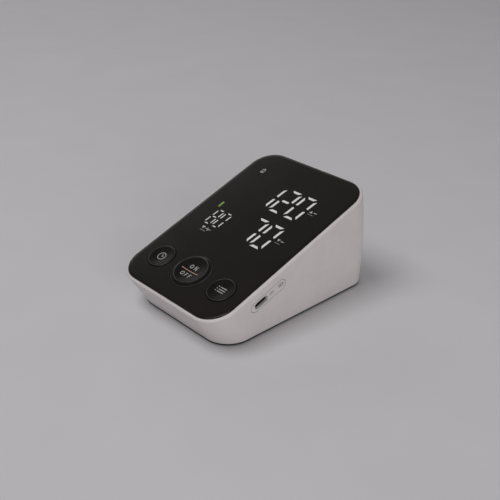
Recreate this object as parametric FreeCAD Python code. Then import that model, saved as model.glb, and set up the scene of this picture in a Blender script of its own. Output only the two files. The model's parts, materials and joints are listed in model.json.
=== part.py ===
"""A home blood pressure monitor: a wedge housing with a sloping panel, three buttons, a charging port and
an air socket, and inside it the board, the display, the pump, the valve, the pressure sensor and the cells.
Millimetres, +Z up. The origin is on the table, under the middle of the body, and the buttons face -Y.
"""
import FreeCAD, Part
import math
import os

Vec = FreeCAD.Vector

# Cuts run past the faces that they open by the overrun, and edges are found within the tolerance
overrun = 1.0
tolerance = 0.01

# Sloping front panel
panel_width = 83.0
panel_length = 123.8
panel_radius = 14.4
panel_tilt = 19.3
panel_thickness = 1.8
panel_proud = 0.6
panel_edge_round = 0.45
panel_gap = 0.12
tape_thickness = 0.2
tape_width = 3.0

# Wedge housing
rim_width = 1.8
rim_round = 1.2
front_height = 20.5
base_width = 79.0
front_undercut = 11.3
rear_overhang = 4.0
base_front_radius = 15.0
base_rear_radius = 12.0
waist_front_radius = 15.6
waist_rear_radius = 12.9
side_bulge = 1.0
front_bulge = 0.3
rear_bulge = 0.25
wall = 2.2
seat_width = 5.0
seat_thickness = 1.6

# Bottom cover
foot_proud = 0.5
cover_drop = 1.0
cover_step = 0.15
cover_thickness = 2.8
cover_gap = 0.3

# Rubber feet
foot_radius = 3.2
foot_sink = 0.5
foot_gap = 0.1
foot_round = 0.3
front_foot_spread = 36.0
front_foot_inset = 9.5
rear_foot_inset = 20.0
foot_side_gap = 0.6

# Screws of the housing, and the posts and pads that they join
screw_radius = 1.2
screw_length = 11.0
screw_head_radius = 2.4
screw_head_height = 1.5
screw_slot_width = 0.6
screw_slot_depth = 0.8
screw_gap = 0.08
screw_end_gap = 0.3
head_gap = 0.3
slot_share = 0.62
pad_radius = 4.2
pad_rise = 1.2
post_radius = 3.0
post_height = 11.0
post_side_inset = 6.5
post_bay_gap = 0.3
post_front_inset = 10.5
post_rear_inset = 9.0

# Buttons in a row across the front of the panel
button_row_inset = 20.4
start_row_lift = 0.9
button_space = 5.3
button_edge_inset = 7.6
button_gap = 0.3
button_lift = 0.1
button_flange = 1.3
button_flange_thickness = 0.8
button_stem_radius = 2.2
button_shoulder = 0.25
button_crown_width = 0.7
button_crown_round = 0.2
start_radius = 12.0
start_crown_radius = 9.9
start_height = 1.7
start_dish = 0.8
side_crown_inset = 0.6
side_height = 0.6
side_dish = 0.55

# Switches under the buttons
switch_side = 6.0
switch_height = 2.0
plunger_radius = 1.7
plunger_rise = 0.7
plunger_sink = 0.5
plunger_gap = 0.3
switch_well = 1.4

# Main board
board_depth = 5.1
board_thickness = 1.6
board_front_inset = 3.5
board_rear_inset = 11.8
board_port_gap = 1.0
board_front_radius = 11.0
board_rear_radius = 8.0
boss_radius = 3.0
boss_side_inset = 3.0
boss_front_inset = 6.2
boss_rear_inset = 16.5
board_screw_radius = 0.9
board_screw_length = 4.6
board_screw_head_radius = 1.8
board_screw_head_height = 1.2
board_screw_slot_width = 0.45
board_screw_slot_depth = 0.6

# Display: digit sizes, rows from the panel's middle, and columns from its sides
digit_height = 20.6
digit_width = 10.2
digit_stroke = 2.05
digit_pitch = 11.95
digit_right_inset = 23.9
upper_row = 29.0
lower_row = 1.5
pulse_digit_height = 13.8
pulse_digit_width = 6.1
pulse_digit_stroke = 1.05
pulse_pitch = 7.1
pulse_left_inset = 24.7
pulse_row = -2.2
segment_gap = 0.3
digit_slant_share = 0.06
reflector_margin = 3.0
reflector_gap = 0.3
film_thickness = 0.2
led_width = 0.9
led_height = 0.5

# Parts on the underside of the board, placed from its right edge and along the panel from its middle
chip_side = 10.0
chip_height = 1.4
chip_inset = 25.0
chip_along = -18.0
buzzer_radius = 6.0
buzzer_height = 5.5
buzzer_hole_radius = 1.0
buzzer_inset = 17.0
buzzer_along = -5.5
connector_length = 6.0
connector_width = 3.4
connector_height = 3.6
connector_wall = 0.6
connector_pitch = 9.0
connector_inset = 31.0
connector_along = 8.0

# Charging port on the right side
port_length = 26.0
port_height = 6.4
port_inset = 36.25
port_gap = 0.15
port_depth = 3.0
port_groove_width = 0.2
port_groove_depth = 0.6
usb_width = 8.94
usb_height = 3.16
usb_wall = 0.3
usb_length = 7.4
usb_gap = 0.35
usb_setback = 1.0
usb_shift = 5.5
usb_back = 1.2
tongue_width = 6.7
tongue_thickness = 0.7
tongue_length = 4.6

# Cells and their bay
cell_count = 4
cell_radius = 5.25
cell_length = 44.5
cell_nub_radius = 1.9
cell_nub_height = 1.0
cell_round = 0.5
cell_gap = 0.5
cell_lift = 0.2
cell_headroom = 0.3
contact_thickness = 0.4
contact_width = 8.0
contact_height = 8.5
bow_radius = 2.6
bay_wall = 2.4
bay_roof = 1.6
bay_rear_gap = 1.5

# Battery door
door_thickness = 1.8
door_ledge = 1.2
door_tongue_width = 1.2
door_tongue_thickness = 0.9
door_gap = 0.3
door_play = 0.1
door_grip_width = 36.0
door_grip_height = 9.0
door_grip_thickness = 1.8
door_grip_round = 0.8
grip_groove_count = 4
grip_groove_width = 0.9
grip_groove_depth = 0.5
grip_groove_margin = 4.0

# Air line: barbs, hoses and the manifold
barb_radius = 1.6
barb_length = 3.0
barb_space = 1.0
air_bore_radius = 0.8
hose_wall = 0.5
hose_bend = 5.0
air_height = 11.0
manifold_side = 9.0
manifold_length = 20.0
air_port_pitch = 11.0

# Air socket in the left wall
socket_radius = 5.5
socket_length = 6.6
socket_gap = 0.15
socket_flange = 1.6
socket_flange_thickness = 3.0
socket_flange_gap = 0.3
socket_bore_radius = 2.2
socket_mouth_radius = 3.2
socket_mouth_depth = 1.6

# Pressure sensor
sensor_side = 8.0
sensor_height = 4.0

# Release valve
valve_side = 10.0
valve_bay_gap = 1.1
valve_body_length = 4.0
valve_coil_length = 12.0
valve_frame_thickness = 1.0
valve_stroke = 0.8
valve_seat_gap = 0.1
plunger_core_radius = 1.9
plunger_core_gap = 0.3
plunger_tail = 1.5
pad_thickness = 0.8
bobbin_gap = 0.2
winding_inset = 0.2

# Pump
pump_hose_run = 1.0
pump_rear_gap = 2.5
head_radius = 11.0
head_length = 12.8
head_wall = 2.0
cap_length = 6.0
cap_pocket = 3.4
diaphragm_thickness = 1.2
motor_radius = 10.0
motor_length = 28.0
motor_wall = 1.0
magnet_thickness = 1.8
magnet_gap_angle = 40.0
rotor_gap = 0.5
rotor_length = 15.0
shaft_radius = 1.0
shaft_gap = 0.05
shaft_reach = 7.0
shaft_end_gap = 0.5
crank_radius = 5.0
crank_length = 3.0
crank_hole_gap = 1.0
crank_pin_radius = 1.2
crank_pin_throw = 2.6
crank_pin_length = 1.6
pump_cradle_rise = 0.3
sleeve_thickness = 1.0
saddle_width = 9.0
saddle_ear = 7.0
clamp_thickness = 1.2
clamp_tab = 2.0
clamp_screw_length = 8.0

# Worked out from the sizes above
tilt = math.radians(panel_tilt)
rim_length = panel_length + 2 * rim_width
rim_span = panel_width + 2 * rim_width
rim_radius = panel_radius + rim_width
rim_run = rim_length * math.cos(tilt)
body_depth = rim_run + rear_overhang
body_front = -body_depth / 2
body_back = body_depth / 2
rim_back = body_front + rim_run
base_front = body_front + front_undercut
base_side = base_width / 2
seam_height = foot_proud + cover_drop
panel_y = body_front + rim_run / 2
panel_z = front_height + rim_length * math.sin(tilt) / 2

cover_bottom = foot_proud
cover_top = cover_bottom + cover_thickness
panel_bottom = panel_proud - panel_thickness
seat_level = panel_bottom - tape_thickness
ceiling_level = seat_level - seat_thickness
board_top = -board_depth
board_bottom = board_top - board_thickness
button_row = -panel_length / 2 + button_row_inset
side_radius = (panel_width / 2 - button_edge_inset - start_radius - button_space) / 2
button_pitch = start_radius + button_space + side_radius
button_places = {
    "set": Vec(-button_pitch, button_row, 0),
    "start": Vec(0, button_row + start_row_lift, 0),
    "mem": Vec(button_pitch, button_row, 0),
}

digit_right_column = panel_width / 2 - digit_right_inset
pulse_right_column = pulse_left_inset - panel_width / 2

bay_half = (cell_count * (2 * cell_radius + cell_gap) + cell_gap) / 2
bay_length = cell_length + bow_radius + 2 * contact_thickness
bay_back = body_back - wall - bay_rear_gap - bay_wall
bay_front = bay_back - bay_length
bay_outer_half = bay_half + bay_wall
door_top = cover_bottom + door_thickness
cell_z = door_top + cell_lift + cell_radius
roof_bottom = cell_z + cell_radius + cell_headroom
roof_top = roof_bottom + bay_roof

hose_radius = barb_radius + hose_wall
manifold_half = manifold_side / 2
manifold_top = air_height + manifold_half
air_y = bay_front - bay_wall - valve_bay_gap - valve_side / 2
saddle_reach = motor_radius + sleeve_thickness + saddle_ear
pump_y = body_back - wall - pump_rear_gap - saddle_reach
pump_z = roof_top + pump_cradle_rise + head_radius

door_half = bay_half + door_ledge
door_front = bay_front - door_ledge
tongue_half = door_half + door_tongue_width
post_places = []
foot_places = []
for side in (-1, 1):
    front_post_x = base_side - wall - post_side_inset
    rear_post_x = bay_outer_half + post_bay_gap + post_radius
    post_places.append((side * front_post_x, base_front + wall + post_front_inset))
    post_places.append((side * rear_post_x, body_back - wall - post_rear_inset))
    rear_foot_x = tongue_half + door_gap + foot_side_gap + foot_radius
    foot_places.append((side * front_foot_spread / 2, base_front + front_foot_inset))
    foot_places.append((side * rear_foot_x, body_back - rear_foot_inset))
head_seat = cover_bottom + screw_head_height + head_gap

stem_bottom = board_top + switch_height + plunger_rise
board_front = -panel_length / 2 + board_front_inset
board_back = panel_length / 2 - board_rear_inset
usb_level = board_bottom - usb_height / 2
port_along = -panel_length / 2 + port_inset
usb_along = port_along - usb_shift

# Frames that outlines are drawn in: the table, the panel, and the waist half way between them
table_frame = FreeCAD.Placement()
panel_frame = FreeCAD.Placement(Vec(0, panel_y, panel_z), FreeCAD.Rotation(Vec(1, 0, 0), panel_tilt))
waist_angle = math.atan(math.tan(tilt) / 2)
waist_frame = FreeCAD.Placement(
    Vec(0, panel_y, (seam_height + panel_z) / 2),
    FreeCAD.Rotation(Vec(1, 0, 0), math.degrees(waist_angle)),
)


# Shared shapes

def box(x_span, y_span, z_span):
    """A block between pairs of x, y and z."""
    corner = Vec(x_span[0], y_span[0], z_span[0])
    return Part.makeBox(x_span[1] - x_span[0], y_span[1] - y_span[0], z_span[1] - z_span[0], corner)


def rod(radius, start, end):
    """A round bar from one point to another."""
    return Part.makeCylinder(radius, (end - start).Length, start, end - start)


def pipe(radius, bore, start, end):
    """A round bar with a bore along it."""
    return rod(radius, start, end).cut(rod(bore, start, end))


def on_panel(shape):
    """Moves a shape drawn on a level panel to the sloping one."""
    placed = shape.copy()
    placed.Placement = panel_frame.multiply(placed.Placement)
    return placed


def polygon(points):
    """A flat face through points."""
    return Part.Face(Part.makePolygon(points + points[:1]))


def turned(profile):
    """A body of revolution about Z from its half section in x and z."""
    return profile.revolve(Vec(0, 0, 0), Vec(0, 0, 1), 360)


def joined(shapes):
    """One solid from shapes that meet."""
    return shapes[0].fuse(shapes[1:]).removeSplitter()


def rounded_wire(half_width, front, back, front_radius, back_radius, frame, level):
    """A rectangle with rounded corners in a frame's own x and y, at a level along its z."""
    corners = [
        (front_radius - half_width, front + front_radius, front_radius, math.pi),
        (half_width - front_radius, front + front_radius, front_radius, math.pi * 3 / 2),
        (half_width - back_radius, back - back_radius, back_radius, 0),
        (back_radius - half_width, back - back_radius, back_radius, math.pi / 2),
    ]
    arcs = []
    for x, y, radius, start in corners:
        angles = [start, start + math.pi / 4, start + math.pi / 2]
        points = [Vec(x + radius * math.cos(a), y + radius * math.sin(a), level) for a in angles]
        arcs.append([frame.multVec(point) for point in points])
    edges = []
    for index, arc in enumerate(arcs):
        following = arcs[(index + 1) % len(arcs)]
        edges.append(Part.Arc(*arc).toShape())
        edges.append(Part.LineSegment(arc[2], following[0]).toShape())
    return Part.Wire(edges)


def rounded_slab(half_width, front, back, radius, bottom, top):
    """A plate with rounded corners, between two levels."""
    wire = rounded_wire(half_width, front, back, radius, radius, table_frame, bottom)
    return Part.Face(wire).extrude(Vec(0, 0, top - bottom))


def base_slab(inset, bottom, top):
    """A plate with the body's outline at the table, drawn in by an inset."""
    wire = rounded_wire(
        base_side - inset, base_front + inset, body_back - inset,
        base_front_radius - inset, base_rear_radius - inset, table_frame, bottom,
    )
    return Part.Face(wire).extrude(Vec(0, 0, top - bottom))


def panel_slab(inset, bottom, top):
    """A plate with the panel's outline, drawn in by an inset, on the level panel."""
    half_length = panel_length / 2 - inset
    return rounded_slab(panel_width / 2 - inset, -half_length, half_length, panel_radius - inset, bottom, top)


def wedge(inset, depth):
    """The body's form through its base, waist and rim, drawn in by an inset, to a depth below the rim."""
    base = rounded_wire(
        base_side - inset, base_front + inset, body_back - inset,
        base_front_radius - inset, base_rear_radius - inset, table_frame, seam_height,
    )
    waist_side = (rim_span / 2 + base_side) / 2 + side_bulge
    waist_front = (body_front + base_front) / 2 - front_bulge
    waist_back = (rim_back + body_back) / 2 + rear_bulge
    waist = rounded_wire(
        waist_side - inset,
        (waist_front - panel_y) / math.cos(waist_angle) + inset,
        (waist_back - panel_y) / math.cos(waist_angle) - inset,
        waist_front_radius - inset, waist_rear_radius - inset, waist_frame, 0,
    )
    half_length = rim_length / 2 - inset
    rim = rounded_wire(
        rim_span / 2 - inset, -half_length, half_length,
        rim_radius - inset, rim_radius - inset, panel_frame, -depth,
    )
    return Part.makeLoft([base, waist, rim], True, False)


def edges_at_level(shape, level, frame):
    """The edges of a shape that lie in a frame's plane at a level."""
    to_frame = frame.inverse()
    found = []
    for edge in shape.Edges:
        ends = [to_frame.multVec(vertex.Point).z for vertex in edge.Vertexes]
        if all(abs(z - level) < tolerance for z in ends):
            found.append(edge)
    return found


def stadium(length, height, across, along, level):
    """A bar with round ends: long along the panel's slope, running across the panel between two x."""
    half = (length - height) / 2
    radius = height / 2
    bar = box(across, (along - half, along + half), (level - radius, level + radius))
    ends = []
    for y in (along - half, along + half):
        ends.append(rod(radius, Vec(across[0], y, level), Vec(across[1], y, level)))
    return joined([bar] + ends)


def cross_slot(seat, direction, width, depth, reach):
    """The cross in a screw's head, cut from its face against the screw's direction."""
    blades = []
    for along, aside in ((reach, width), (width, reach)):
        blade = Part.makeBox(2 * along, 2 * aside, depth, Vec(-along, -aside, 0))
        blades.append(blade)
    slot = blades[0].fuse(blades[1])
    slot.Placement = FreeCAD.Placement(seat, FreeCAD.Rotation(Vec(0, 0, 1), direction))
    return slot


def screw(seat, direction, radius, length, head_radius, head_height, slot_width, slot_depth):
    """A screw whose head seats at a point and whose shank runs on in a direction."""
    face = seat - direction * head_height
    solid = rod(radius, seat, seat + direction * length).fuse(rod(head_radius, face, seat))
    slot = cross_slot(face, direction, slot_width / 2, slot_depth, head_radius * slot_share)
    return solid.removeSplitter().cut(slot)


def bent_path(points, bend):
    """Straight runs through points, with a tangent arc at each corner."""
    edges = []
    start = points[0]
    for before, corner, after in zip(points, points[1:], points[2:]):
        back = (before - corner).normalize()
        ahead = (after - corner).normalize()
        half = back.getAngle(ahead) / 2
        middle = corner + (back + ahead).normalize() * (bend / math.sin(half) - bend)
        enter = corner + back * (bend / math.tan(half))
        leave = corner + ahead * (bend / math.tan(half))
        edges.append(Part.LineSegment(start, enter).toShape())
        edges.append(Part.Arc(enter, middle, leave).toShape())
        start = leave
    edges.append(Part.LineSegment(start, points[-1]).toShape())
    return Part.Wire(edges)


def hose(points):
    """A soft tube pushed over the barbs at both ends of its path."""
    path = bent_path(points, hose_bend)
    walls = []
    for radius in (hose_radius, barb_radius):
        ring = Part.Wire(Part.makeCircle(radius, points[0], points[1] - points[0]))
        walls.append(path.makePipeShell([ring], True, False))
    return walls[0].cut(walls[1])


def bar_points(start, end, stroke):
    """The six corners of a display segment with pointed ends."""
    along = (end - start).normalize()
    aside = Vec(-along.y, along.x, 0) * (stroke / 2)
    inner = along * (stroke / 2)
    return [
        start, start + inner - aside, end - inner - aside,
        end, end - inner + aside, start + inner + aside,
    ]


def slanted(point, row):
    """A point of a digit, leaning with the slant about the middle of its row."""
    return Vec(point.x + digit_slant_share * (point.y - row), point.y, point.z)


def digit_bars(x, y, width, height, stroke):
    """The seven leaning segments of a digit about its middle, each as its two end points."""
    side = (width - stroke) / 2
    half = (height - stroke) / 2
    gap = segment_gap
    bars = []
    for level in (-half, 0, half):
        bars.append((Vec(x - side + gap, y + level, 0), Vec(x + side - gap, y + level, 0)))
    for column in (-side, side):
        for low in (-half, 0):
            bars.append((Vec(x + column, y + low + gap, 0), Vec(x + column, y + low + half - gap, 0)))
    return [[slanted(point, y) for point in bar] for bar in bars]


def display_segments():
    """Every segment of the display, as its two end points and its stroke."""
    segments = []
    for row, columns in ((upper_row, 3), (lower_row, 2)):
        for column in range(columns):
            x = digit_right_column - column * digit_pitch
            bars = digit_bars(x, row, digit_width, digit_height, digit_stroke)
            segments += [(start, end, digit_stroke) for start, end in bars]
    for column in range(2):
        x = pulse_right_column - column * pulse_pitch
        bars = digit_bars(x, pulse_row, pulse_digit_width, pulse_digit_height, pulse_digit_stroke)
        segments += [(start, end, pulse_digit_stroke) for start, end in bars]
    return segments


# Places that follow the side walls, which lean and swell

def side_wall(y, z):
    """How far the outside of a side wall is from the middle, at a place along and up."""
    return Part.makeLine(Vec(0, y, z), Vec(rim_span, y, z)).common(wedge(0, 0)).BoundBox.XMax


port_middle = panel_frame.multVec(Vec(0, port_along, usb_level))
port_wall = side_wall(port_middle.y, port_middle.z)
usb_mouth = port_wall - usb_setback
board_half = port_wall - port_depth - board_port_gap
boss_places = []
for side in (-1, 1):
    boss_places.append((side * button_pitch / 2, -panel_length / 2 + boss_front_inset))
    boss_places.append((side * (board_half - boss_side_inset), panel_length / 2 - boss_rear_inset))

socket_mouth = -side_wall(air_y, air_height)
socket_tail = socket_mouth + socket_length
manifold_end = socket_tail + manifold_length
pump_port_x = socket_tail + manifold_half
sensor_port_x = pump_port_x + air_port_pitch
sensor_corner = Vec(sensor_port_x, air_y, manifold_top + barb_length + hose_bend * math.tan(tilt / 2))
sensor_place = panel_frame.inverse().multVec(sensor_corner)
valve_face = manifold_end + 2 * barb_length + barb_space
coil_front = valve_face + valve_body_length
coil_back = coil_front + valve_coil_length
pad_front = coil_front + valve_stroke + valve_seat_gap

pump_start = pump_port_x + hose_bend + barb_length + pump_hose_run
cap_end = pump_start + cap_length
head_start = cap_end + diaphragm_thickness
motor_start = head_start + head_length
motor_end = motor_start + motor_length
crank_start = motor_start - shaft_reach
saddle_middle = (motor_start + motor_end) / 2
saddle_span = (saddle_middle - saddle_width / 2, saddle_middle + saddle_width / 2)
clamp_screw_reach = saddle_reach - (saddle_ear - clamp_thickness) / 2
clamp_screw_ys = [pump_y - clamp_screw_reach, pump_y + clamp_screw_reach]
rotor_radius = motor_radius - motor_wall - magnet_thickness - rotor_gap
rotor_start = saddle_middle - rotor_length / 2
rotor_end = saddle_middle + rotor_length / 2


def air_axis(x):
    """A point on the axis of the socket, the manifold and the valve."""
    return Vec(x, air_y, air_height)


def pump_axis(x):
    """A point on the pump's axis."""
    return Vec(x, pump_y, pump_z)


# Enclosure

def upper_housing():
    """The white wedge shell with the panel's seat, board bosses, screw posts and the cuts in its sides."""
    shell = wedge(0, 0)
    shell = shell.makeFillet(rim_round, edges_at_level(shell, 0, panel_frame))
    shell = shell.cut(wedge(wall, -ceiling_level))
    recess = panel_slab(-panel_gap, seat_level, overrun)
    window = panel_slab(seat_width, ceiling_level - overrun, overrun)
    shell = shell.cut([on_panel(recess), on_panel(window)])

    inside = wedge(wall / 2, -ceiling_level)
    posts = []
    for x, y in post_places:
        foot = Vec(x, y, cover_top + pad_rise)
        head = foot + Vec(0, 0, post_height)
        posts.append(rod(post_radius, foot, head))
        outward = base_side if x > 0 else -base_side
        span = (min(x, outward), max(x, outward))
        posts.append(box(span, (y - post_radius / 2, y + post_radius / 2), (foot.z, head.z)))
    posts = joined(posts).common(inside)
    bosses = [rod(boss_radius, Vec(x, y, board_top), Vec(x, y, seat_level)) for x, y in boss_places]
    shell = shell.fuse([posts] + [on_panel(boss) for boss in bosses])

    cuts = []
    for x, y in post_places:
        foot = Vec(x, y, cover_top + pad_rise - overrun)
        end = Vec(x, y, head_seat + screw_length + screw_end_gap)
        cuts.append(rod(screw_radius + screw_gap, foot, end))
    for x, y in boss_places:
        end = board_bottom + board_screw_length + screw_end_gap
        hole = rod(board_screw_radius + screw_gap, Vec(x, y, board_top - overrun), Vec(x, y, end))
        cuts.append(on_panel(hole))
    across = (port_wall - port_depth - overrun, rim_span / 2 + overrun)
    cuts.append(on_panel(stadium(port_length + 2 * port_gap, port_height + 2 * port_gap, across,
                                 port_along, usb_level)))
    cuts.append(rod(socket_radius + socket_gap, air_axis(-rim_span), air_axis(socket_tail)))
    grip = door_grip_width / 2 + door_gap
    beyond = (bay_back + bay_wall, body_back + overrun)
    grip_top = cover_bottom + door_grip_height + door_gap
    cuts.append(box((-grip, grip), beyond, (seam_height - overrun, grip_top)))
    tongue = tongue_half + door_gap
    cuts.append(box((-tongue, tongue), beyond, (seam_height - overrun, door_top + door_play)))
    return shell.cut(cuts).removeSplitter()


def bottom_cover():
    """The dark base: plate, battery bay, screw pads, and the stands of the pump, valve and manifold."""
    plate = base_slab(cover_step, cover_bottom, seam_height)
    inner = base_slab(wall + cover_gap, cover_bottom, cover_top)
    bay = box((-bay_outer_half, bay_outer_half), (bay_front - bay_wall, bay_back + bay_wall),
              (cover_bottom, roof_top))
    solids = [plate, inner, bay]
    pad_top = cover_top + pad_rise
    pads = [rod(pad_radius, Vec(x, y, cover_bottom), Vec(x, y, pad_top)) for x, y in post_places]
    solids.append(joined(pads).common(base_slab(wall + cover_gap, cover_bottom, pad_top)))
    solids.append(box(saddle_span, (pump_y - saddle_reach, pump_y + saddle_reach), (roof_bottom, pump_z)))
    stands = [((socket_tail, manifold_end), manifold_half), ((valve_face, coil_back), valve_side / 2)]
    for x_span, half in stands:
        solids.append(box(x_span, (air_y - half, air_y + half), (cover_bottom, air_height - half)))
    cover = joined(solids)

    cuts = [box((-bay_half, bay_half), (bay_front, bay_back), (cover_bottom - overrun, roof_bottom))]
    slot = door_half + door_gap
    slide = (door_front - door_gap, body_back + overrun)
    cuts.append(box((-slot, slot), slide, (cover_bottom - overrun, door_top + door_play)))
    groove = slot + door_tongue_width
    groove_bottom = door_top - door_tongue_thickness - door_play
    cuts.append(box((-groove, groove), slide, (groove_bottom, door_top + door_play)))
    for x, y in foot_places:
        cuts.append(rod(foot_radius + foot_gap, Vec(x, y, cover_bottom - overrun),
                        Vec(x, y, cover_bottom + foot_sink)))
    for x, y in post_places:
        seat = Vec(x, y, head_seat)
        cuts.append(rod(screw_head_radius + head_gap, Vec(x, y, cover_bottom - overrun), seat))
        cuts.append(rod(screw_radius + screw_gap, seat, Vec(x, y, pad_top + overrun)))
    cuts.append(rod(motor_radius + sleeve_thickness, pump_axis(saddle_span[0] - overrun),
                    pump_axis(saddle_span[1] + overrun)))
    for y in clamp_screw_ys:
        top = Vec(saddle_middle, y, pump_z + overrun)
        cuts.append(rod(board_screw_radius + screw_gap, top - Vec(0, 0, clamp_screw_length + overrun), top))
    return cover.cut(cuts).removeSplitter()


def front_panel():
    """The black gloss panel with its rounded upper edge and the three button holes."""
    slab = panel_slab(0, panel_bottom, panel_proud)
    slab = slab.makeFillet(panel_edge_round, edges_at_level(slab, panel_proud, table_frame))
    holes = []
    for name, place in button_places.items():
        radius = (start_radius if name == "start" else side_radius) + button_gap
        below = place + Vec(0, 0, panel_bottom - overrun)
        holes.append(rod(radius, below, place + Vec(0, 0, panel_proud + overrun)))
    return on_panel(slab.cut(holes))


def panel_tape():
    """The tape frame between the panel and its seat."""
    outer = panel_slab(0, seat_level, panel_bottom)
    inner = panel_slab(tape_width, seat_level - overrun, panel_bottom + overrun)
    return on_panel(outer.cut(inner))


def port_plate():
    """The insert round the charging port, flush with the right wall, with a groove round its face."""
    across = (port_wall - port_depth, rim_span / 2 + overrun)
    body = on_panel(stadium(port_length, port_height, across, port_along, usb_level))
    face = on_panel(stadium(port_length - 2 * port_groove_width, port_height - 2 * port_groove_width,
                            across, port_along, usb_level))
    plate = joined([body.common(wedge(port_groove_depth, 0)), face.common(wedge(0, 0))])
    opening = stadium(usb_width + 2 * usb_gap, usb_height + 2 * usb_gap,
                      (across[0] - overrun, across[1] + overrun), usb_along, usb_level)
    return plate.cut(on_panel(opening))


def battery_door():
    """The door of the cells: a plate with side tongues, and a grip that closes the notch in the rear wall."""
    plate_back = body_back - cover_step
    plate = box((-door_half, door_half), (door_front, plate_back), (cover_bottom, door_top))
    rails = box((-tongue_half, tongue_half), (door_front, bay_back + bay_wall),
                (door_top - door_tongue_thickness, door_top))
    half = door_grip_width / 2
    grip_top = cover_bottom + door_grip_height
    grip = box((-half, half), (bay_back, body_back + overrun), (seam_height, grip_top))
    corners = [edge for edge in grip.Edges if all(v.Z > grip_top - tolerance for v in edge.Vertexes)
               and abs(edge.Vertexes[0].Y - edge.Vertexes[1].Y) > overrun]
    grip = grip.makeFillet(door_grip_round, corners)
    grip = grip.common(wedge(0, 0)).cut(wedge(door_grip_thickness, 0))
    door = joined([plate, rails, grip])
    first = seam_height + door_thickness + grip_groove_width
    pitch = (grip_top - first - grip_groove_width) / grip_groove_count
    grooves = []
    for index in range(grip_groove_count):
        z = first + index * pitch
        span = (grip_groove_margin - half, half - grip_groove_margin)
        groove = box(span, (bay_back, body_back + overrun), (z, z + grip_groove_width))
        grooves.append(groove.cut(wedge(grip_groove_depth, 0)))
    return door.cut(grooves)


def housing_screws():
    """Four screws up through the cover into the housing's posts."""
    screws = []
    for x, y in post_places:
        screws.append(screw(Vec(x, y, head_seat), Vec(0, 0, 1), screw_radius, screw_length, screw_head_radius,
                            screw_head_height, screw_slot_width, screw_slot_depth))
    return Part.makeCompound(screws)


def rubber_feet():
    """Four round feet set into the cover."""
    feet = []
    for x, y in foot_places:
        foot = rod(foot_radius, Vec(x, y, 0), Vec(x, y, cover_bottom + foot_sink))
        feet.append(foot.makeFillet(foot_round, edges_at_level(foot, 0, table_frame)))
    return Part.makeCompound(feet)


# Buttons and switches

def button(place, radius, crown_radius, height, dish):
    """A push button: dished cap through the panel, a flange that stops under it, a stem over its switch."""
    flange_top = panel_bottom - button_lift
    flange_bottom = flange_top - button_flange_thickness
    flange_radius = radius + button_gap + button_flange
    crown = panel_proud + height
    dish_radius = crown_radius - button_crown_width
    ball = (dish_radius ** 2 + dish ** 2) / (2 * dish)
    half_turn = math.asin(dish_radius / ball) / 2
    points = [
        Vec(0, 0, stem_bottom), Vec(button_stem_radius, 0, stem_bottom),
        Vec(button_stem_radius, 0, flange_bottom), Vec(flange_radius, 0, flange_bottom),
        Vec(flange_radius, 0, flange_top), Vec(radius, 0, flange_top),
        Vec(radius, 0, panel_proud + button_shoulder),
    ]
    edges = [Part.LineSegment(a, b).toShape() for a, b in zip(points, points[1:])]
    brow = [points[-1], Vec(crown_radius, 0, crown), Vec(dish_radius, 0, crown)]
    edges += bent_path(brow, button_crown_round).Edges
    centre = Vec(0, 0, crown - dish)
    halfway = centre + Vec(ball * math.sin(half_turn), 0, ball * (1 - math.cos(half_turn)))
    edges.append(Part.Arc(brow[-1], halfway, centre).toShape())
    edges.append(Part.LineSegment(centre, points[0]).toShape())
    cap = turned(Part.Face(Part.Wire(edges)))
    cap.translate(place)
    return on_panel(cap)


def switch_plunger(place):
    """The plunger of a switch, which its button's stem pushes down."""
    low = board_top + switch_height - plunger_sink
    return on_panel(rod(plunger_radius, place + Vec(0, 0, low), place + Vec(0, 0, stem_bottom)))


def switch_bodies():
    """Three switch bodies on the board, each with the well that its plunger sinks into."""
    bodies = []
    half = switch_side / 2
    top = board_top + switch_height
    for place in button_places.values():
        body = box((place.x - half, place.x + half), (place.y - half, place.y + half), (board_top, top))
        well = rod(plunger_radius + plunger_gap, place + Vec(0, 0, top - switch_well),
                   place + Vec(0, 0, top + overrun))
        bodies.append(on_panel(body.cut(well)))
    return Part.makeCompound(bodies)


# Board and display

def main_board():
    """The board, screwed under the housing's bosses."""
    outline = rounded_wire(board_half, board_front, board_back, board_front_radius, board_rear_radius,
                           table_frame, board_bottom)
    slab = Part.Face(outline).extrude(Vec(0, 0, board_thickness))
    holes = []
    for x, y in boss_places:
        holes.append(rod(board_screw_radius + screw_gap, Vec(x, y, board_bottom - overrun),
                         Vec(x, y, board_top + overrun)))
    return on_panel(slab.cut(holes))


def board_screws():
    """Four screws up through the board into the housing's bosses."""
    screws = []
    for x, y in boss_places:
        screws.append(on_panel(screw(Vec(x, y, board_bottom), Vec(0, 0, 1), board_screw_radius,
                                     board_screw_length, board_screw_head_radius, board_screw_head_height,
                                     board_screw_slot_width, board_screw_slot_depth)))
    return Part.makeCompound(screws)


def reflector_span():
    """The x and y spans of the display's reflector, from its digits."""
    left = pulse_right_column - pulse_pitch - pulse_digit_width / 2 - reflector_margin
    right = digit_right_column + digit_width / 2 + reflector_margin
    low = lower_row - digit_height / 2 - reflector_margin
    high = upper_row + digit_height / 2 + reflector_margin
    return (left, right), (low, high)


def display_reflector():
    """The block over the lights, with a well for every segment."""
    x_span, y_span = reflector_span()
    top = panel_bottom - film_thickness - reflector_gap
    block = box(x_span, y_span, (board_top, top))
    wells = []
    for start, end, stroke in display_segments():
        lift = Vec(0, 0, board_top - overrun)
        points = [point + lift for point in bar_points(start, end, stroke)]
        wells.append(polygon(points).extrude(Vec(0, 0, top - board_top + 2 * overrun)))
    return on_panel(block.cut(wells))


def display_film():
    """The frosted film over the reflector's wells."""
    x_span, y_span = reflector_span()
    bottom = panel_bottom - film_thickness - reflector_gap
    return on_panel(box(x_span, y_span, (bottom, bottom + film_thickness)))


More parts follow.
